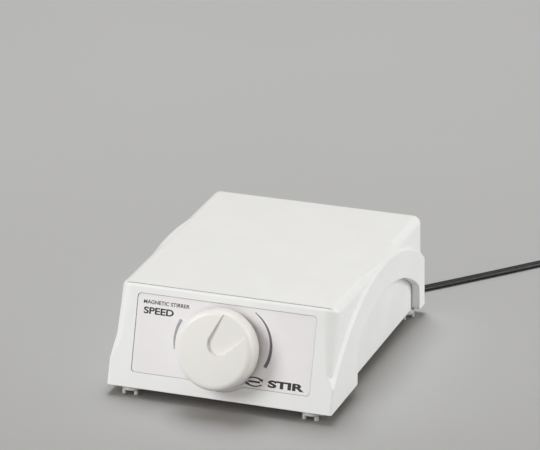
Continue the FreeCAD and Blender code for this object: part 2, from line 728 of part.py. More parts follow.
def make_magnet_carrier():
    """The steel yoke, its hub and set screw, and the two drive magnets."""
    high = yoke_low + yoke_thickness
    spigot = 3.0
    parts = {}
    parts["magnet_yoke"] = motor_ring(yoke_radius, spigot, yoke_low, high)
    hub = motor_rod(5.0, hub_low, yoke_low).fuse(motor_rod(spigot, yoke_low, high))
    hub = hub.cut(motor_rod(motor_shaft_radius, 0, 60))
    screw_height = hub_low + 2.6
    thread = Part.makeCylinder(1.5, 6.0, V(0.5, 0, height(screw_height)), X_AXIS)
    parts["magnet_hub"] = hub.cut(thread).removeSplitter()
    screw = Part.makeCylinder(1.5, 3.8, V(1.0, 0, height(screw_height)), X_AXIS)
    socket_radius = 0.85
    corners = [V(3.2, socket_radius * math.cos(math.radians(60 * i)),
                 height(screw_height) + socket_radius * math.sin(math.radians(60 * i)))
               for i in range(7)]
    socket = Part.Face(Part.makePolygon(corners)).extrude(V(3, 0, 0))
    parts["hub_set_screw"] = screw.cut(socket).cut(motor_rod(motor_shaft_radius, 0, 60))
    for name, side in (("drive_magnet_north", 1), ("drive_magnet_south", -1)):
        disc = motor_rod(drive_magnet_radius, high, high + drive_magnet_thickness,
                         side * drive_magnet_offset)
        rims = [e for e in disc.Edges if e.Closed]
        parts[name] = disc.makeChamfer(0.4, rims)
    return parts


# ---------------------------------------------------------------- control board

def board_rod(radius, x, y, low, high):
    return rod(radius, x, y, height(low), height(high))


def board_block(x_low, x_high, y_low, y_high, low, high):
    """A block standing on or above the board, with heights above the board's top face."""
    return block(x_low, x_high, y_low, y_high, height(board_high + low), height(board_high + high))


def leads_at(places, top=0.0, radius=0.35):
    """Component leads that pass down through the board."""
    return [board_rod(radius, x, y, board_low - 1.2, board_high + top) for x, y in places]


def axial_part(x, y, body_radius, body_length, pitch):
    """A resistor or diode lying along X, with its leads bent down through the board."""
    centre_z = height(board_high + body_radius + 0.4)
    body = Part.makeCylinder(body_radius, body_length, V(x - body_length / 2, y, centre_z), X_AXIS)
    body = body.makeFillet(0.35 * body_radius, [e for e in body.Edges if e.Closed])
    lead = Part.makeCylinder(0.25, pitch, V(x - pitch / 2, y, centre_z), X_AXIS)
    legs = [rod(0.3, x + side * pitch / 2, y, height(board_low - 1.2), centre_z + 0.3) for side in SIDES]
    return body.fuse([lead] + legs).removeSplitter()


def make_board():
    """The control board with its components, as one dictionary of nodes."""
    parts = {}
    holes = []

    jack_half = 4.5
    jack_front = y_rear - rear_slope * jack_height - 0.1
    jack_back = jack_front - 14.2
    jack_bore_bottom = jack_front - 10.3
    housing = board_block(-jack_half, jack_half, jack_back, jack_front, 0, 11.0)
    along_y = V(0, jack_bore_bottom, height(jack_height))
    housing = housing.cut(Part.makeCylinder(3.15, 12, along_y, Y_AXIS))
    contact = Part.makeCylinder(0.98, 9.7, V(0, jack_bore_bottom, height(jack_height)), Y_AXIS)
    contact = contact.makeFillet(0.5, [e for e in contact.Edges if e.Closed
                                       and e.CenterOfMass.y > jack_front - 2])
    jack_tabs = [board_block(x - 1.0, x + 1.0, y - 0.25, y + 0.25, -board_thickness - 1.5, 0)
                 for x, y in ((0.0, jack_back + 1.0), (0.0, jack_back + 6.5))]
    holes += [board_block(x - 1.2, x + 1.2, y - 0.45, y + 0.45, -3, 0.5)
              for x, y in ((0.0, jack_back + 1.0), (0.0, jack_back + 6.5))]
    parts["dc_jack_housing"] = housing
    parts["dc_jack_contacts"] = [contact] + jack_tabs

    cap_x, cap_y, cap_radius = -18.0, 50.0, 5.0
    can = rod(cap_radius, cap_x, cap_y, height(board_high + 0.4), height(board_high + 13))
    can = can.makeFillet(0.8, [e for e in can.Edges if e.Closed])
    cap_leads = [(cap_x - 2.5, cap_y), (cap_x + 2.5, cap_y)]
    parts["filter_capacitor"] = can.fuse(leads_at(cap_leads, 0.6)).removeSplitter()

    reg_x, reg_y = 17.5, 50.0
    body = board_block(reg_x - 5.0, reg_x + 5.0, reg_y - 1.4, reg_y + 1.6, 3.6, 12.6)
    tab = board_block(reg_x - 5.0, reg_x + 5.0, reg_y + 1.6, reg_y + 2.9, 3.6, 18.6)
    eye = Part.makeCylinder(1.8, 4, V(reg_x, reg_y, height(board_high + 15.8)), Y_AXIS)
    reg_leads = [(reg_x + step, reg_y) for step in (-2.54, 0, 2.54)]
    legs = leads_at(reg_leads, 4.0, 0.4)
    parts["drive_transistor"] = body.fuse([tab.cut(eye)] + legs).removeSplitter()

    chip_x, chip_y = 0.0, 39.5
    chip = board_block(chip_x - 4.9, chip_x + 4.9, chip_y - 3.2, chip_y + 3.2, 0.6, 3.9)
    notch = board_rod(0.9, chip_x - 4.9, chip_y, board_high + 3.0, board_high + 5)
    chip_leads = [(chip_x + step, chip_y + side * 3.81)
                  for step in (-3.81, -1.27, 1.27, 3.81) for side in SIDES]
    legs = leads_at(chip_leads, 2.2, 0.3)
    shoulders = [board_block(x - 0.3, x + 0.3, min(y, chip_y), max(y, chip_y), 1.9, 2.2)
                 for x, y in chip_leads]
    parts["control_chip"] = chip.cut(notch).fuse(legs + shoulders).removeSplitter()

    resistor_rows = [(18.0, 31.0), (18.0, 35.0), (18.0, 39.0), (-13.5, 40.0)]
    parts["board_resistors"] = [axial_part(x, y, 1.2, 6.3, 10.0) for x, y in resistor_rows]
    diode_place = (18.0, 43.0)
    parts["flyback_diode"] = axial_part(*diode_place, 1.35, 5.2, 10.0)
    axial_leads = [(x + side * 5.0, y) for x, y in resistor_rows + [diode_place] for side in SIDES]

    connector_leads = []
    for name, x, pins in (("motor_connector", -7.0, 2), ("pot_connector", -20.0, 3)):
        half = 1.25 * pins + 1.2
        shell = board_block(x - half, x + half, 27.2, 33.0, 0, 7.0)
        mouth = board_block(x - half + 0.8, x + half - 0.8, 28.0, 32.2, 2.6, 8)
        places = [(x + 2.5 * (i - (pins - 1) / 2), 30.1) for i in range(pins)]
        shell = shell.cut(mouth)
        posts = leads_at(places, 6.0, 0.32)
        connector_leads += places
        parts[name] = shell.fuse(posts).removeSplitter()

    board = block(-board_half_width, board_half_width, board_front, board_rear,
                  height(board_low), height(board_high))
    round_leads = cap_leads + reg_leads + chip_leads + axial_leads + connector_leads
    holes += [board_rod(0.5, x, y, board_low - 1, board_high + 1) for x, y in round_leads]
    holes += [board_rod(1.6, x, y, board_low - 1, board_high + 1) for x, y in board_screw_places]
    parts["circuit_board"] = board.cut(Part.makeCompound(holes))
    parts["board_screws"] = [pan_screw(1.1, 6.8, 2.4, 1.6, V(x, y, height(board_high)), -Z_AXIS)
                             for x, y in board_screw_places]
    return parts


def make_leads():
    """Wires from the board's plugs to the motor and to the potentiometer, and the two plugs."""
    parts = {}
    wire = 0.6
    bend = 1.6
    touch = 0.02
    plug_top = board_high + 8.6
    for name, x, pins in (("motor_plug", -7.0, 2), ("pot_plug", -20.0, 3)):
        half = 1.25 * pins + 0.3
        plug = board_block(x - half, x + half, 28.1, 32.1, 2.7, 8.6)
        for i in range(pins):
            x_pin = x + 2.5 * (i - (pins - 1) / 2)
            plug = plug.cut(board_rod(0.4, x_pin, 30.1, board_high, board_high + 6.2))
        parts[name] = plug

    run_height = height(4.8)
    over_plugs = height(plug_top + 3.6)
    pin_y = 30.1
    motor_wires = []
    for x_plug, x_tab in ((-8.25, -5.0), (-5.75, 5.0)):
        points = [V(x_tab, 7.6 + touch, height(5.8)), V(x_tab, 17.0, height(5.8)),
                  V(x_plug, 22.0, over_plugs), V(x_plug, pin_y, over_plugs),
                  V(x_plug, pin_y, height(plug_top) + touch)]
        motor_wires.append(bent_wire(points, bend, wire))
    parts["motor_leads"] = motor_wires

    # Each wire has its own lane along the left side, so that the three never cross
    pin_level = panel_inner - pot_depth + pot_cover_wall + pot_track_thickness + pot_pin_thickness / 2
    pin_end = -pot_radius - pot_pin_reach - touch
    pot_wires = []
    for i, x_pin in enumerate(pot_pin_places):
        start = on_knob_axis(Part.Vertex(x_pin, pin_end, pin_level)).Point
        below = on_knob_axis(Part.Vertex(x_pin, pin_end - 5.0, pin_level)).Point
        x_lane = -36.8 + 1.7 * i
        x_plug = -22.5 + 2.5 * i
        y_cross = -74.0 + 2.5 * i
        y_rise = 23.5 - 2.5 * i
        below.z = run_height
        points = [start, below, V(x_pin, y_cross, run_height), V(x_lane, y_cross, run_height),
                  V(x_lane, y_rise, run_height), V(x_lane, y_rise, over_plugs),
                  V(x_plug, y_rise, over_plugs), V(x_plug, pin_y, over_plugs),
                  V(x_plug, pin_y, height(plug_top) + touch)]
        pot_wires.append(bent_wire(points, bend, wire))
    parts["pot_leads"] = pot_wires
    return parts


# ---------------------------------------------------------------- plug and cord

def cord_path():
    """The cord leaves the plug sideways, drops to the bench and runs off to the rear right."""
    z_plug = height(jack_height)
    z_lying = z_bench + cord_core_radius + 0.05
    y_exit = y_rear + 6.0
    start = V(13.0, y_exit, z_plug)
    leave = V(18.0, y_exit, z_plug)
    lying = V(51.4, 92.5, z_lying)
    end = V(120.4, 171.2, z_lying)
    heading = V(0.672, 0.741, 0)
    heading_end = V(0.648, 0.762, 0)
    drop = Part.BezierCurve()
    drop.setPoles([leave, leave + V(17, 0, 0), lying - heading * 17, lying])
    lie = Part.BezierCurve()
    lie.setPoles([lying, lying + heading * 35, end - heading_end * 35, end])
    return Part.Wire([Part.makeLine(start, leave), drop.toShape(), lie.toShape()])


def sweep_on_cord(profiles):
    """Sweep profiles, drawn at the cord's start, along the cord without twisting it."""
    solids = []
    for profile in profiles:
        pipe = Part.BRepOffsetAPI.MakePipeShell(cord_path())
        pipe.setBiNormalMode(Z_AXIS)
        pipe.add(profile)
        pipe.build()
        pipe.makeSolid()
        solids.append(pipe.shape())
    return solids


def core_circle(side, radius):
    start = cord_path().Vertexes[0].Point
    centre = start + V(0, side * cord_core_pitch / 2, 0)
    return Part.Wire([Part.Circle(centre, X_AXIS, radius).toShape()])


def cord_section():
    """The outline of the twin cord: two round cores joined by a web."""
    half = cord_core_pitch / 2
    waist = math.sqrt(cord_core_radius ** 2 - half ** 2)
    start = cord_path().Vertexes[0].Point
    arcs = []
    for side in SIDES:
        arcs.append(Part.Arc(start + V(0, 0, side * waist), start + V(0, side * (half + cord_core_radius), 0),
                             start + V(0, 0, -side * waist)).toShape())
    return Part.Wire(arcs)


def boot_arm_outline(arm_radius):
    """The plug's side arm and its strain relief, a row of shrinking ribs."""
    first_rib = 9.4
    rib_pitch = 2.0
    rib_width = 1.0
    groove_depth = 0.6
    outline = [(0, 0), (arm_radius, 0), (arm_radius, first_rib - 1)]
    for i in range(4):
        rib = arm_radius - 0.3 - 0.25 * i
        start = first_rib + rib_pitch * i
        outline += [(rib - groove_depth, start), (rib, start), (rib, start + rib_width),
                    (rib - groove_depth, start + rib_width)]
    end = first_rib + 4 * rib_pitch
    return outline + [(outline[-1][0], end), (0, end)]


def make_plug_and_cord():
    """A right-angled plug with a moulded boot, and the twin cord with its two conductors."""
    parts = {}
    y_face = y_rear - rear_slope * jack_height + 0.15
    z_plug = height(jack_height)
    y_exit = y_rear + 6.0
    barrel_radius = 2.75
    barrel_bore = 1.05
    tip = V(0, y_face - plug_barrel_length, z_plug)
    barrel = Part.makeCylinder(barrel_radius, plug_barrel_length + 3, tip, Y_AXIS)
    barrel = barrel.cut(Part.makeCylinder(barrel_bore, plug_barrel_length + 0.5, tip, Y_AXIS))
    head_radius = 5.2
    head_length = 12.8
    arm_radius = 4.3
    head = Part.makeCylinder(head_radius, head_length, V(0, y_face, z_plug), Y_AXIS)
    head = head.makeFillet(1.4, [e for e in head.Edges if e.Closed and e.CenterOfMass.y > y_face + 6])
    boot = head.fuse(turned(boot_arm_outline(arm_radius), V(0, y_exit, z_plug), X_AXIS))
    cord = sweep_on_cord([cord_section()])[0]
    conductors = sweep_on_cord([core_circle(side, conductor_radius) for side in SIDES])
    cord_stub = Part.Face(cord_section()).extrude(V(8, 0, 0))
    barrel_space = Part.makeCylinder(barrel_radius, 4.0, V(0, y_face - 1, z_plug), Y_AXIS)
    parts["dc_plug_boot"] = boot.cut(barrel_space).cut(cord_stub).removeSplitter()
    parts["dc_plug_barrel"] = barrel
    parts["power_cord"] = cord.cut(Part.makeCompound(conductors))
    parts["cord_conductors"] = conductors
    return parts


# ---------------------------------------------------------------- export

def save(name, shape):
    if isinstance(shape, list):
        shape = Part.makeCompound(shape)
    if shape.ShapeType == "Compound" and len(shape.Solids) == 1:
        shape = shape.Solids[0]
    shape.exportStep(os.path.join("parts", name + ".step"))


def main():
    os.makedirs("parts", exist_ok=True)
    nodes = {
        "upper_case": make_upper_case(),
        "lower_case": make_lower_case(),
        "control_panel_label": make_label(),
        "base_screws": make_base_screws(),
        "speed_knob": make_speed_knob(),
    }
    foot_names = ("foot_front_left", "foot_rear_left", "foot_front_right", "foot_rear_right")
    for name, place in zip(foot_names, foot_places):
        nodes[name] = make_foot(*place)
    for group in (make_potentiometer, make_motor_stator, make_motor_rotor, make_motor_mount,
                  make_magnet_carrier, make_board, make_leads, make_plug_and_cord):
        nodes.update(group())
    for name, shape in nodes.items():
        save(name, shape)


main()
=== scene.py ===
import json
import math

import bmesh
import bpy
from mathutils import Matrix, Vector


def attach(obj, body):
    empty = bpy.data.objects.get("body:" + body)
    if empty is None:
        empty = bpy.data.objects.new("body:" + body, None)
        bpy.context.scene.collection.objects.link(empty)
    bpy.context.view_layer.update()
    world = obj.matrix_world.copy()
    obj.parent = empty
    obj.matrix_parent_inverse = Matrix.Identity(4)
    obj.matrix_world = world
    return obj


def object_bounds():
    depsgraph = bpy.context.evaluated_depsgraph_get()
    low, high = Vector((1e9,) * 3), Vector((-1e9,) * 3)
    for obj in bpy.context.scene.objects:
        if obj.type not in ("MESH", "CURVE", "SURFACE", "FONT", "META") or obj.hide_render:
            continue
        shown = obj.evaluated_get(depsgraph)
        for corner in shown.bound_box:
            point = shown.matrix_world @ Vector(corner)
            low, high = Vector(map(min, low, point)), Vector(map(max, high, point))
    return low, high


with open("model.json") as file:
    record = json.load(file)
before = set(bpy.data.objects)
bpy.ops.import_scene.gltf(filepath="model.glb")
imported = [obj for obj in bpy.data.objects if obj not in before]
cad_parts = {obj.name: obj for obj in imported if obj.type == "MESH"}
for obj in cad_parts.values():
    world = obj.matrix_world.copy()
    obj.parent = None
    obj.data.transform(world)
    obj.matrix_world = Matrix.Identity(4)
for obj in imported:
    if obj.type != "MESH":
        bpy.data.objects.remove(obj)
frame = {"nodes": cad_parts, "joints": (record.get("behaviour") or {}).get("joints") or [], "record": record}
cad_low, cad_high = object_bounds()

# A bench-top magnetic stirrer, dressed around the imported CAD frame.
# The object's own sizes are written in millimetres and turned into metres with MM.

MM = 0.001
nodes = frame["nodes"]
scene = bpy.context.scene


# ---------------------------------------------------------------- the control panel's own axes

def joint_named(name):
    return [j for j in frame["joints"] if j["name"] == name][0]


knob_joint = joint_named("knob_turn")
knob_centre = Vector(knob_joint["pos_m"])           # on the case's front face
panel_normal = Vector(knob_joint["axis"]).normalized()
panel_right = Vector((1, 0, 0))
panel_up = panel_normal.cross(panel_right)


def highest_along(node, direction):
    """How far a CAD node reaches along a direction, from the knob's centre, in metres."""
    return max((v.co - knob_centre).dot(direction) for v in nodes[node].data.vertices)


label_front = highest_along("control_panel_label", panel_normal)


def on_label(x, y, lift):
    """A point over the label, in millimetres: x and y from the knob's axis, and lift above the label."""
    flat = knob_centre + panel_right * (x * MM) + panel_up * (y * MM)
    return flat + panel_normal * (label_front + lift * MM)


# ---------------------------------------------------------------- materials

class Shader:
    """A principled material that is built up node by node."""

    def __init__(self, name, metallic=0.0):
        self.material = bpy.data.materials.new(name)
        self.material.use_nodes = True
        self.nodes = self.material.node_tree.nodes
        self.links = self.material.node_tree.links
        self.surface = self.nodes["Principled BSDF"]
        self.surface.inputs["Metallic"].default_value = metallic
        self.place = self.nodes.new("ShaderNodeTexCoord").outputs["Object"]

    def set(self, name, value):
        self.surface.inputs[name].default_value = value

    def noise(self, scale, detail=2.0, stretch=None):
        """Noise on the object's own coordinates, in cycles per metre."""
        node = self.nodes.new("ShaderNodeTexNoise")
        node.inputs["Scale"].default_value = scale
        node.inputs["Detail"].default_value = detail
        source = self.place
        if stretch:
            mapping = self.nodes.new("ShaderNodeMapping")
            mapping.inputs["Scale"].default_value = stretch
            self.links.new(source, mapping.inputs["Vector"])
            source = mapping.outputs["Vector"]
        self.links.new(source, node.inputs["Vector"])
        return node.outputs["Fac"]

    def ramp(self, factor, stops):
        node = self.nodes.new("ShaderNodeValToRGB")
        band = node.color_ramp
        while len(band.elements) < len(stops):
            band.elements.new(0.5)
        for element, (position, colour) in zip(band.elements, stops):
            element.position = position
            element.color = (*colour, 1)
        self.links.new(factor, node.inputs["Fac"])
        return node.outputs["Color"]

    def colour_between(self, factor, first, second, low=0.35, high=0.65):
        self.links.new(self.ramp(factor, [(low, first), (high, second)]), self.surface.inputs["Base Color"])

    def paint_crease_shade(self, reach_mm, darkest):
        """Painted shade in narrow grooves and gaps: the base colour darkens where the surface is closed in
        and shade would fall.
        """
        closed, clear = 0.35, 0.85
        base = self.surface.inputs["Base Color"]
        tone = base.links[0].from_socket
        openness = self.nodes.new("ShaderNodeAmbientOcclusion")
        openness.samples = 8
        openness.inputs["Distance"].default_value = reach_mm * MM
        # painted shade: closed-in surface points get a darker base colour
        painted_shade = self.ramp(openness.outputs["AO"], [(closed, (darkest, darkest, darkest)), (clear, (1, 1, 1))])
        product = self.nodes.new("ShaderNodeVectorMath")
        product.operation = "MULTIPLY"
        self.links.new(tone, product.inputs[0])
        self.links.new(painted_shade, product.inputs[1])
        self.links.new(product.outputs["Vector"], base)

    def roughness_between(self, factor, low, high):
        node = self.nodes.new("ShaderNodeMapRange")
        node.inputs["From Min"].default_value = 0.3
        node.inputs["From Max"].default_value = 0.7
        node.inputs["To Min"].default_value = low
        node.inputs["To Max"].default_value = high
        self.links.new(factor, node.inputs["Value"])
        self.links.new(node.outputs["Result"], self.surface.inputs["Roughness"])

    def bump(self, factor, height_mm, edge_mm=0.0):
        """Fine relief; edge_mm also softens the solid's sharp edges in the reflections."""
        node = self.nodes.new("ShaderNodeBump")
        node.inputs["Distance"].default_value = height_mm * MM
        self.links.new(factor, node.inputs["Height"])
        if edge_mm:
            edge = self.nodes.new("ShaderNodeBevel")
            edge.samples = 4
            edge.inputs["Radius"].default_value = edge_mm * MM
            self.links.new(edge.outputs["Normal"], node.inputs["Normal"])
        self.links.new(node.outputs["Normal"], self.surface.inputs["Normal"])


def shade(colour, factor):
    return tuple(min(1.0, c * factor) for c in colour)


def moulded(name, colour, roughness, grain_mm=0.004, grain_scale=2600.0, edge_mm=0.25, variation=0.02,
            crease_shade_mm=0.0):
    """Moulded plastic: a faint mottle in its colour and gloss, and a fine eroded grain."""
    shader = Shader(name)
    mottle = shader.noise(38.0, 3.0)
    shader.colour_between(mottle, shade(colour, 1 - variation), shade(colour, 1 + variation))
    shader.roughness_between(shader.noise(160.0, 4.0), roughness - 0.04, roughness + 0.05)
    shader.bump(shader.noise(grain_scale, 2.0), grain_mm, edge_mm)
    shader.set("IOR", 1.5)
    # painted shade: given a reach, grooves and gaps get a darker base colour
    if crease_shade_mm:
        shader.paint_crease_shade(crease_shade_mm, 0.58)
    return shader.material


def case_plastic():
    # painted shade darkens the case's grooves, recess edges and gaps
    return moulded("case_enamel", (0.88, 0.88, 0.872), 0.42, grain_mm=0.003, edge_mm=0.35, variation=0.012,
                   crease_shade_mm=1.6)


def tub_plastic():
    return moulded("tub_plastic", (0.85, 0.85, 0.84), 0.55, grain_mm=0.008, grain_scale=1900.0)


def knob_plastic():
    return moulded("knob_plastic", (0.87, 0.85, 0.812), 0.36, grain_mm=0.002, edge_mm=0.55, variation=0.012)


def black_plastic():
    return moulded("black_plastic", (0.022, 0.022, 0.023), 0.45, variation=0.1)


def white_nylon():
    return moulded("white_nylon", (0.76, 0.73, 0.66), 0.5, variation=0.04)


def label_film():
    """The printed sheet: a warm pale grey with a very fine pearl grain."""
    shader = Shader("label_film")
    shader.colour_between(shader.noise(60.0, 3.0), (0.872, 0.842, 0.854), (0.892, 0.862, 0.874))
    shader.roughness_between(shader.noise(240.0, 4.0), 0.42, 0.52)
    shader.bump(shader.noise(5200.0, 2.0), 0.0015)
    # painted shade along the label's edges and the gap around it
    shader.paint_crease_shade(1.2, 0.62)
    return shader.material


def rubber(name, colour):
    """Soft rubber with a dusty, speckled skin."""
    shader = Shader(name)
    shader.colour_between(shader.noise(900.0, 4.0), shade(colour, 0.88), shade(colour, 1.06))
    shader.roughness_between(shader.noise(420.0, 4.0), 0.7, 0.86)
    shader.bump(shader.noise(2400.0, 4.0), 0.02)
    shader.set("Specular IOR Level", 0.3)
    return shader.material


def cord_sheath():
    """Black PVC with a slight drawn sheen and dust."""
    shader = Shader("cord_sheath")
    shader.colour_between(shader.noise(700.0, 5.0), (0.008, 0.008, 0.009), (0.022, 0.022, 0.023))
    shader.roughness_between(shader.noise(300.0, 4.0), 0.34, 0.52)
    shader.bump(shader.noise(1500.0, 3.0), 0.01)
    return shader.material


def metal(name, colour, roughness, stretch=(1.0, 1.0, 12.0), grain=900.0, relief_mm=0.004):
    """Metal whose drawn, turned or rolled grain runs along the least stretched direction."""
    shader = Shader(name, metallic=1.0)
    grain_noise = shader.noise(grain, 4.0, stretch)
    shader.colour_between(grain_noise, shade(colour, 0.88), shade(colour, 1.08))
    shader.roughness_between(shader.noise(grain * 0.6, 3.0, stretch), roughness - 0.08, roughness + 0.1)
    shader.bump(grain_noise, relief_mm, 0.08)
    return shader.material


def speckled(name, colours, roughness, scale=2200.0, relief_mm=0.01):
    """Sintered, pressed or sprayed stuff with a granular look."""
    shader = Shader(name)
    shader.colour_between(shader.noise(scale, 5.0), *colours)
    shader.roughness_between(shader.noise(scale * 0.4, 3.0), roughness - 0.06, roughness + 0.08)
    shader.bump(shader.noise(scale, 3.0), relief_mm)
    return shader.material


def circuit_laminate():
    """Tan pressed-paper laminate with a faint weave of fibres."""
    shader = Shader("laminate_board")
    fibres = shader.noise(1400.0, 4.0, (1.0, 6.0, 1.0))
    shader.colour_between(fibres, (0.44, 0.31, 0.13), (0.56, 0.42, 0.21))
    shader.roughness_between(shader.noise(500.0, 3.0), 0.4, 0.6)
    shader.bump(fibres, 0.01)
    return shader.material


def banded_resistor():
    """Tan lacquer with colour bands around the body, which lies along X."""
    shader = Shader("resistor_body")
    wave = shader.nodes.new("ShaderNodeTexWave")
    wave.bands_direction = "X"
    wave.inputs["Scale"].default_value = 95.0
    wave.inputs["Distortion"].default_value = 0.4
    shader.links.new(shader.place, wave.inputs["Vector"])
    bands = shader.ramp(wave.outputs["Fac"], [(0.0, (0.30, 0.05, 0.02)), (0.16, (0.58, 0.42, 0.24)),
                                              (0.84, (0.60, 0.44, 0.25)), (1.0, (0.32, 0.20, 0.05))])
    shader.links.new(bands, shader.surface.inputs["Base Color"])
    shader.roughness_between(shader.noise(700.0, 3.0), 0.32, 0.48)
    shader.bump(shader.noise(1300.0, 3.0), 0.01)
    return shader.material


def wound_copper():
    """Enamelled wire laid in tight turns."""
    shader = Shader("copper_wire", metallic=0.85)
    wave = shader.nodes.new("ShaderNodeTexWave")
    wave.bands_direction = "Z"
    wave.inputs["Scale"].default_value = 900.0
    wave.inputs["Distortion"].default_value = 0.6
    shader.links.new(shader.place, wave.inputs["Vector"])
    shader.colour_between(wave.outputs["Fac"], (0.30, 0.09, 0.03), (0.66, 0.27, 0.10), 0.1, 0.8)
    shader.roughness_between(shader.noise(900.0, 3.0), 0.25, 0.42)
    shader.bump(wave.outputs["Fac"], 0.05)
    return shader.material


def wire_insulation():
    """Flexible insulation: red, with the duller patches that handling leaves."""
    shader = Shader("wire_insulation")
    shader.colour_between(shader.noise(320.0, 4.0), (0.36, 0.02, 0.018), (0.50, 0.035, 0.03))
    shader.roughness_between(shader.noise(500.0, 3.0), 0.36, 0.52)
    shader.bump(shader.noise(1800.0, 3.0), 0.006)
    return shader.material


def printing_ink(name, colour):
    """Screen-printed ink, slightly uneven in density."""
    shader = Shader(name)
    shader.colour_between(shader.noise(900.0, 4.0), shade(colour, 0.85), shade(colour, 1.12))
    shader.roughness_between(shader.noise(500.0, 3.0), 0.38, 0.5)
    shader.bump(shader.noise(4000.0, 2.0), 0.001)
    return shader.material


def slot_materials():
    """One finish for each material slot of the record."""
    return {
        "case_enamel": case_plastic(), "tub_plastic": tub_plastic(), "knob_plastic": knob_plastic(),
        "label_film": label_film(), "black_plastic": black_plastic(), "white_nylon": white_nylon(),
        "cap_nylon": moulded("cap_nylon", (0.70, 0.67, 0.60), 0.5, variation=0.04),
        "foot_rubber": rubber("foot_rubber", (0.60, 0.60, 0.59)),
        "grommet_rubber": rubber("grommet_rubber", (0.035, 0.035, 0.036)),
        "cord_sheath": cord_sheath(),
        "zinc_steel": metal("zinc_steel", (0.60, 0.61, 0.62), 0.32, (1, 1, 1), 1500.0),
        "motor_steel": metal("motor_steel", (0.52, 0.52, 0.51), 0.34),
        "bracket_steel": metal("bracket_steel", (0.58, 0.58, 0.57), 0.36, (12.0, 1.0, 12.0)),
        "shaft_steel": metal("shaft_steel", (0.62, 0.62, 0.61), 0.2, (1, 1, 20.0), 1500.0, 0.002),
        "pot_steel": metal("pot_steel", (0.56, 0.56, 0.55), 0.3, (1, 1, 1), 1200.0),
        "bronze": metal("bronze", (0.50, 0.31, 0.15), 0.45, (1, 1, 1), 3000.0, 0.01),
        "brass": metal("brass", (0.72, 0.53, 0.24), 0.28, (1, 12.0, 1)),
        "nickel_brass": metal("nickel_brass", (0.66, 0.65, 0.61), 0.22, (1, 1, 1), 1500.0, 0.002),
        "hub_alloy": metal("hub_alloy", (0.66, 0.67, 0.68), 0.3, (1, 1, 16.0), 1200.0),
        "magnet_plate": metal("magnet_plate", (0.70, 0.70, 0.69), 0.14, (1, 1, 1), 1800.0, 0.002),
        "tinned_copper": metal("tinned_copper", (0.70, 0.69, 0.66), 0.3, (1, 1, 1), 2200.0),
        "copper_wire": wound_copper(), "resistor_body": banded_resistor(),
        "wire_insulation": wire_insulation(), "laminate_board": circuit_laminate(),
        "ferrite": speckled("ferrite", ((0.05, 0.05, 0.052), (0.10, 0.10, 0.10)), 0.6),
        "carbon": speckled("carbon", ((0.02, 0.02, 0.021), (0.06, 0.06, 0.06)), 0.7),
        "chip_epoxy": speckled("chip_epoxy", ((0.018, 0.018, 0.02), (0.032, 0.032, 0.034)), 0.55,
                               3000.0, 0.004),
        "capacitor_sleeve": speckled("capacitor_sleeve", ((0.02, 0.03, 0.10), (0.03, 0.045, 0.14)), 0.3,
                                     400.0, 0.003),
        "pot_phenolic": speckled("pot_phenolic", ((0.14, 0.06, 0.025), (0.24, 0.11, 0.05)), 0.5),
    }


def paint_frame():
    """Give every CAD node the finish of its material slot."""
    made = slot_materials()
    for part in frame["record"]["subparts"]:
        target = nodes[part["node"]].data.materials
        target.clear()
        target.append(made[part["material_slot"]])


# ---------------------------------------------------------------- the label's print

INK_HEIGHT = 0.03       # the ink's thickness above the label, in millimetres
INK_SINK = 0.01         # how far its underside lies inside the label
WELD = 0.002            # points of the lettering closer than this are joined


def mesh_piece(name, mesh, material, body):
    """A visual piece with its own material that rides on one of the frame's bodies."""
    piece = bpy.data.objects.new(name, mesh)
    scene.collection.objects.link(piece)
    mesh.materials.clear()
    mesh.materials.append(material)
    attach(piece, body)


def extruded_outlines(name, outlines):
    """A closed mesh from flat outlines in label coordinates, as thick as the ink."""
    made = bmesh.new()
    for outline in outlines:
        low = [made.verts.new(on_label(x, y, -INK_SINK)) for x, y in outline]
        high = [made.verts.new(on_label(x, y, INK_HEIGHT)) for x, y in outline]
        made.faces.new(high)
        made.faces.new(low[::-1])
        count = len(outline)
        for i in range(count):
            j = (i + 1) % count
            made.faces.new((low[i], low[j], high[j], high[i]))
    bmesh.ops.recalc_face_normals(made, faces=made.faces)
    bmesh.ops.triangulate(made, faces=[f for f in made.faces if len(f.verts) > 4])
    mesh = bpy.data.meshes.new(name)
    made.to_mesh(mesh)
    made.free()
    return mesh


def polar(radius, clockwise_degrees, centre=(0.0, 0.0)):
    angle = math.radians(clockwise_degrees)
    return centre[0] + radius * math.sin(angle), centre[1] + radius * math.cos(angle)


def tapered_arc(outer_radius, thin_end, thick_end, thin, thick, centre=(0.0, 0.0), swell=0.8):
    """A printed arc that widens inwards from its thin end; angles are clockwise from the top."""
    steps = 48
    inner, outer = [], []
    for i in range(steps + 1):
        share = i / steps
        angle = thin_end + (thick_end - thin_end) * share
        width = thin + (thick - thin) * share ** swell
        inner.append(polar(outer_radius - width, angle, centre))
        outer.append(polar(outer_radius, angle, centre))
    return outer + inner[::-1]


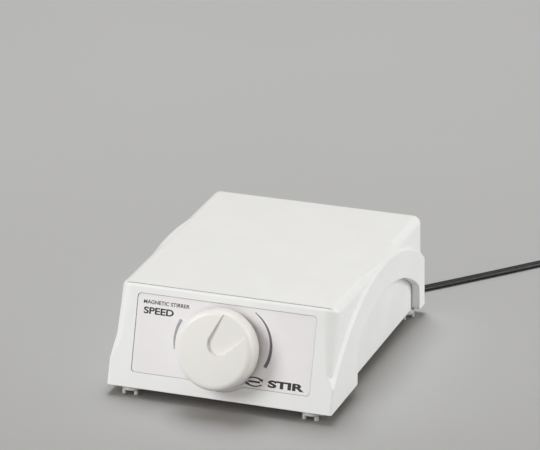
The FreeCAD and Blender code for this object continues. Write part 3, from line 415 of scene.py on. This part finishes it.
def printed_words(name, words, left, low, width, height, weight, ink):
    """Printed lettering set to an exact width and height on the label."""
    curve = bpy.data.curves.new(name + "_outline", "FONT")
    curve.body = words
    curve.offset = weight
    curve.extrude = 0.05        # only tells the two faces apart: the ink's height is set below
    source = bpy.data.objects.new(name + "_source", curve)
    scene.collection.objects.link(source)
    bpy.context.view_layer.update()
    drawn = source.evaluated_get(bpy.context.evaluated_depsgraph_get())
    mesh = bpy.data.meshes.new_from_object(drawn)
    bpy.data.objects.remove(source)
    xs = [v.co.x for v in mesh.vertices]
    ys = [v.co.y for v in mesh.vertices]
    for v in mesh.vertices:
        x = left + (v.co.x - min(xs)) / (max(xs) - min(xs)) * width
        y = low + (v.co.y - min(ys)) / (max(ys) - min(ys)) * height
        v.co = on_label(x, y, INK_HEIGHT if v.co.z > 0 else -INK_SINK)
    made = bmesh.new()
    made.from_mesh(mesh)
    bmesh.ops.remove_doubles(made, verts=made.verts, dist=WELD * MM)
    bmesh.ops.recalc_face_normals(made, faces=made.faces)
    made.to_mesh(mesh)
    made.free()
    mesh_piece(name, mesh, ink, "base")


def capsule_outline(centre_x, centre_y, length, thickness, steps=12):
    """A stir bar seen from the side: a stadium lying along x."""
    radius = thickness / 2
    straight = length / 2 - radius
    points = []
    for side, start in ((1, 0), (-1, 180)):
        for i in range(steps + 1):
            x, y = polar(radius, start + 180 * i / steps)
            points.append((centre_x + side * straight + x, centre_y + y))
    return points


def arrow_head(radius, angle, size, centre):
    """A filled triangle at the end of a curved arrow, as wide as it is long."""
    half_width = size * 0.6
    length = size * 1.2
    swing = math.degrees(length / radius)
    return [polar(radius - half_width, angle, centre), polar(radius + half_width, angle, centre),
            polar(radius, angle + swing, centre)]


def print_label():
    black = printing_ink("ink_black", (0.012, 0.012, 0.013))
    dark = printing_ink("ink_dark_grey", (0.13, 0.128, 0.135))
    middle = printing_ink("ink_mid_grey", (0.36, 0.355, 0.37))
    right = tapered_arc(20.4, 29, 117, 0.35, 1.8, (5.8, 2.2))
    left = tapered_arc(21.7, -105, -62, 0.2, 1.6, (-4.2, 1.6), swell=0.5)
    mesh_piece("scale_arc_right", extruded_outlines("scale_arc_right", [right]), dark, "base")
    mesh_piece("scale_arc_left", extruded_outlines("scale_arc_left", [left]), middle, "base")
    printed_words("print_title", "MAGNETIC STIRRER", -43.4, 17.2, 24.4, 1.95, 0.018, black)
    printed_words("print_speed", "SPEED", -43.0, 12.1, 15.9, 3.5, 0.028, black)
    print_stir_mark(black)


def print_stir_mark(ink):
    """A stir bar between two turning arrows, drawn foreshortened, and a plain word beside it."""
    centre = (18.4, -14.4)
    foreshortening = 0.5
    outlines = [capsule_outline(*centre, 6.6, 1.9)]
    for start, end in ((-60, 50), (120, 230)):
        outlines.append(tapered_arc(5.0, start, end, 0.9, 1.5, centre))
        outlines.append(arrow_head(4.5, end, 2.2, centre))
    squeezed = [[(x, centre[1] + (y - centre[1]) * foreshortening) for x, y in outline]
                for outline in outlines]
    mesh_piece("print_stir_mark", extruded_outlines("print_stir_mark", squeezed), ink, "base")
    printed_words("print_stir", "STIR", 25.6, -16.3, 19.0, 3.8, 0.045, ink)


# ---------------------------------------------------------------- floor, light and camera

def make_floor():
    """A plain pale floor at the height of the feet's tips."""
    half = 3.0
    level = cad_low.z
    mesh = bpy.data.meshes.new("studio_floor")
    corners = [(-half, -half, level), (half, -half, level), (half, half, level), (-half, half, level)]
    mesh.from_pydata(corners, [], [(0, 1, 2, 3)])
    floor = bpy.data.objects.new("studio_floor", mesh)
    scene.collection.objects.link(floor)
    shader = Shader("floor_paper")
    shader.colour_between(shader.noise(3.0, 2.0), (0.595, 0.595, 0.598), (0.605, 0.605, 0.608))
    shader.roughness_between(shader.noise(40.0, 3.0), 0.75, 0.85)
    shader.bump(shader.noise(900.0, 3.0), 0.01)
    mesh.materials.append(shader.material)
    return floor


def area_light(name, place, size, power, colour, floor, lights_floor):
    """A round softbox aimed at the object, which lights either the floor or everything else."""
    data = bpy.data.lights.new(name, "AREA")
    data.shape = "DISK"
    data.size = size
    data.energy = power
    data.color = colour
    lamp = bpy.data.objects.new(name, data)
    lamp.location = place
    lamp.rotation_mode = "QUATERNION"
    lamp.rotation_quaternion = (Vector((0, 0, -0.03)) - Vector(place)).to_track_quat("-Z", "Y")
    scene.collection.objects.link(lamp)
    receivers = bpy.data.collections.new(name + "_receivers")
    receivers.objects.link(floor)
    lamp.light_linking.receiver_collection = receivers
    receivers.collection_objects[0].light_linking.link_state = "INCLUDE" if lights_floor else "EXCLUDE"


def make_lights(floor):
    """Warm surroundings and cool softboxes: the shadows turn warm, as the open floor stays neutral."""
    world = bpy.data.worlds.new("studio")
    world.use_nodes = True
    world.node_tree.nodes["Background"].inputs["Color"].default_value = (1.0, 0.935, 0.85, 1)
    world.node_tree.nodes["Background"].inputs["Strength"].default_value = 0.32
    scene.world = world
    cool = (0.955, 0.98, 1.0)
    area_light("key_softbox", (-0.95, -1.05, 0.85), 0.75, 14.8, cool, floor, False)
    area_light("front_fill", (-0.3, -1.5, 0.05), 0.9, 3.4, cool, floor, False)
    area_light("right_softbox", (1.25, 0.3, 0.52), 0.9, 11.6, cool, floor, False)
    area_light("top_softbox", (0.0, 0.2, 1.3), 1.2, 3.9, cool, floor, False)
    area_light("floor_softbox", (-0.22, 0.55, 1.4), 0.8, 12.2, (0.935, 0.968, 1.0), floor, True)


def make_camera():
    """A long lens in front of the object, swung toward its right side and raised."""
    azimuth, elevation = math.radians(19.46), math.radians(21.42)
    distance = 2.0978
    aim_right, aim_up = -4.55 * MM, 9.03 * MM
    back = Vector((math.sin(azimuth) * math.cos(elevation), -math.cos(azimuth) * math.cos(elevation),
                   math.sin(elevation)))
    right = Vector((math.cos(azimuth), math.sin(azimuth), 0))
    up = back.cross(right)
    data = bpy.data.cameras.new("camera")
    data.sensor_width = 36.0
    data.lens = 272.7
    data.clip_start, data.clip_end = 0.05, 50.0
    camera = bpy.data.objects.new("camera", data)
    turn = Matrix((right, up, back)).transposed().to_4x4()
    camera.matrix_world = Matrix.Translation(back * distance + right * aim_right + up * aim_up) @ turn
    scene.collection.objects.link(camera)
    scene.camera = camera


scene.view_settings.view_transform = "Standard"
paint_frame()
print_label()
make_lights(make_floor())
make_camera()
